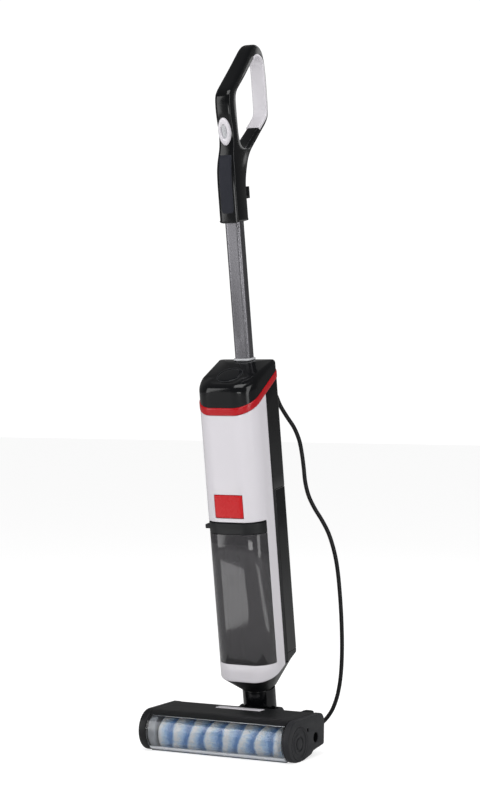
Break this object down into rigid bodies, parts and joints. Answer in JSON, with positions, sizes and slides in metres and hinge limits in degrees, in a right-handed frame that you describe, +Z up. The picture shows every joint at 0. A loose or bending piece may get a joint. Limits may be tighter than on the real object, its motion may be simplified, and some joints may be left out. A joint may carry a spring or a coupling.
{
  "type": "wet dry floor scrubber",
  "caption": "Upright corded floor washer with a roller head, a leaning two-tank body and a slim tube with a loop handle.",
  "frame": {"origin": "middle of the object's width and depth without its cord, on the floor", "axes": "+Z up from the floor, -Y to the front, the way the roller faces, +X along the roller to the removable end cap"},
  "size_m": [0.2816, 0.391, 1.1406],
  "materials": {
    "black_gloss": "glossy moulded ABS",
    "black_satin": "fine textured moulded ABS",
    "stem_matte": "soft matte ABS",
    "white_gloss": "glossy white ABS",
    "red_trim": "glossy red ABS",
    "red_button": "glossy red ABS",
    "smoked_tank": "smoked transparent copolymer",
    "clear_window": "clear polycarbonate",
    "roller_cloth": "blue and white microfibre pile",
    "anodised_tube": "grey anodised aluminium",
    "steel": "turned steel",
    "black_rubber": "moulded rubber",
    "cord_rubber": "PVC sheathed mains cord",
    "grey_plastic": "moulded grey plastic",
    "circuit_board": "glass fibre circuit board"
  },
  "bodies": {
    "head": {"head_housing": "black_satin", "left_end_housing": "black_satin", "right_end_cap": "black_satin", "badge_strip": "white_gloss", "squeegee": "black_rubber", "spray_bar": "grey_plastic", "suction_duct": "grey_plastic", "drive_motor": "steel", "drive_belt": "black_rubber", "roller_bearing": "steel", "wheel_axle": "steel", "neck_bracket": "black_satin", "neck_pin_left": "steel", "neck_pin_right": "steel"},
    "roller_cover": {"roller_window": "clear_window", "cover_band": "black_satin"},
    "roller": {"roller_core": "grey_plastic", "roller_sleeve": "roller_cloth", "roller_pulley": "grey_plastic"},
    "motor_drive": {"motor_pulley": "steel"},
    "left_wheel": {"wheel_left": "black_rubber"},
    "right_wheel": {"wheel_right": "black_rubber"},
    "neck": {"neck_yoke": "black_gloss", "neck_hose": "black_rubber"},
    "main_body": {"bottom_funnel": "black_satin", "front_shell": "white_gloss", "back_shell": "black_gloss", "chassis": "black_satin", "red_trim_ring": "red_trim", "console_cap": "black_gloss", "display_lens": "black_gloss", "control_board": "circuit_board", "suction_motor": "steel", "water_pump": "grey_plastic", "latch_bracket": "steel", "release_spring": "steel", "strain_relief": "black_rubber", "power_cord": "cord_rubber", "cord_coil": "cord_rubber", "cord_tie": "black_rubber", "mains_plug": "cord_rubber", "handle_tube": "anodised_tube", "tube_collar": "grey_plastic", "handle_left": "black_gloss", "handle_right": "black_gloss", "stem_cover": "stem_matte", "grip_insert": "white_gloss", "switch_bezel": "white_gloss", "cord_hook_lower": "black_satin"},
    "dirty_tank": {"dirty_water_tank": "smoked_tank", "tank_lid": "black_satin", "standpipe": "grey_plastic", "tank_filter": "grey_plastic"},
    "float": {"tank_float": "grey_plastic"},
    "clean_tank": {"clean_water_tank": "black_gloss", "clean_tank_cap": "grey_plastic"},
    "button": {"release_button": "red_button"},
    "fan": {"impeller": "steel"},
    "rocker": {"power_rocker": "grey_plastic"},
    "upper_hook": {"cord_hook_upper": "black_satin"}
  },
  "joints": [
    {"name": "neck_tilt", "type": "hinge", "parent": "head", "child": "neck", "pos_m": [0, 0.0657, 0.045], "axis": [-1, 0, 0], "range_deg": [0, 70]},
    {"name": "neck_swivel", "type": "hinge", "parent": "neck", "child": "main_body", "pos_m": [0, 0.0657, 0.045], "axis": [0, -0.153, 0.9882], "range_deg": [-30, 30]},
    {"name": "roller_spin", "type": "hinge", "parent": "head", "child": "roller", "pos_m": [0, -0.0583, 0.0282], "axis": [1, 0, 0], "continuous": true},
    {"name": "motor_spin", "type": "hinge", "parent": "head", "child": "motor_drive", "pos_m": [0, 0.0017, 0.04], "axis": [1, 0, 0], "continuous": true},
    {"name": "left_wheel_spin", "type": "hinge", "parent": "head", "child": "left_wheel", "pos_m": [0, 0.0597, 0.022], "axis": [1, 0, 0], "continuous": true},
    {"name": "right_wheel_spin", "type": "hinge", "parent": "head", "child": "right_wheel", "pos_m": [0, 0.0597, 0.022], "axis": [1, 0, 0], "continuous": true},
    {"name": "cover_lift", "type": "slide", "parent": "head", "child": "roller_cover", "axis": [0, -0.6, 0.8], "range_m": [0, 0.045]},
    {"name": "dirty_tank_slide", "type": "slide", "parent": "main_body", "child": "dirty_tank", "axis": [0, -0.9882, -0.153], "range_m": [0, 0.09]},
    {"name": "float_rise", "type": "slide", "parent": "dirty_tank", "child": "float", "axis": [0, -0.153, 0.9882], "range_m": [0, 0.018]},
    {"name": "clean_tank_slide", "type": "slide", "parent": "main_body", "child": "clean_tank", "axis": [0, 0.9882, 0.153], "range_m": [0, 0.06]},
    {"name": "release_press", "type": "slide", "parent": "main_body", "child": "button", "axis": [0, 0.9882, 0.153], "range_m": [0, 0.003], "stiffness_N_per_m": 400, "springref_m": -0.002, "deforming": ["release_spring"]},
    {"name": "fan_spin", "type": "hinge", "parent": "main_body", "child": "fan", "pos_m": [0, 0.00032, 0.44774], "axis": [0, -0.153, 0.9882], "continuous": true},
    {"name": "power_rock", "type": "hinge", "parent": "main_body", "child": "rocker", "pos_m": [0, -0.0542, 0.99079], "axis": [1, 0, 0], "range_deg": [-6, 6]},
    {"name": "upper_hook_turn", "type": "hinge", "parent": "main_body", "child": "upper_hook", "pos_m": [0, -0.00945, 0.8854], "axis": [0, 0.9882, 0.153], "range_deg": [0, 180]}
  ],
  "couplings": [
    {"joint": "motor_spin", "follows": "roller_spin", "ratio": 1.8462}
  ]
}
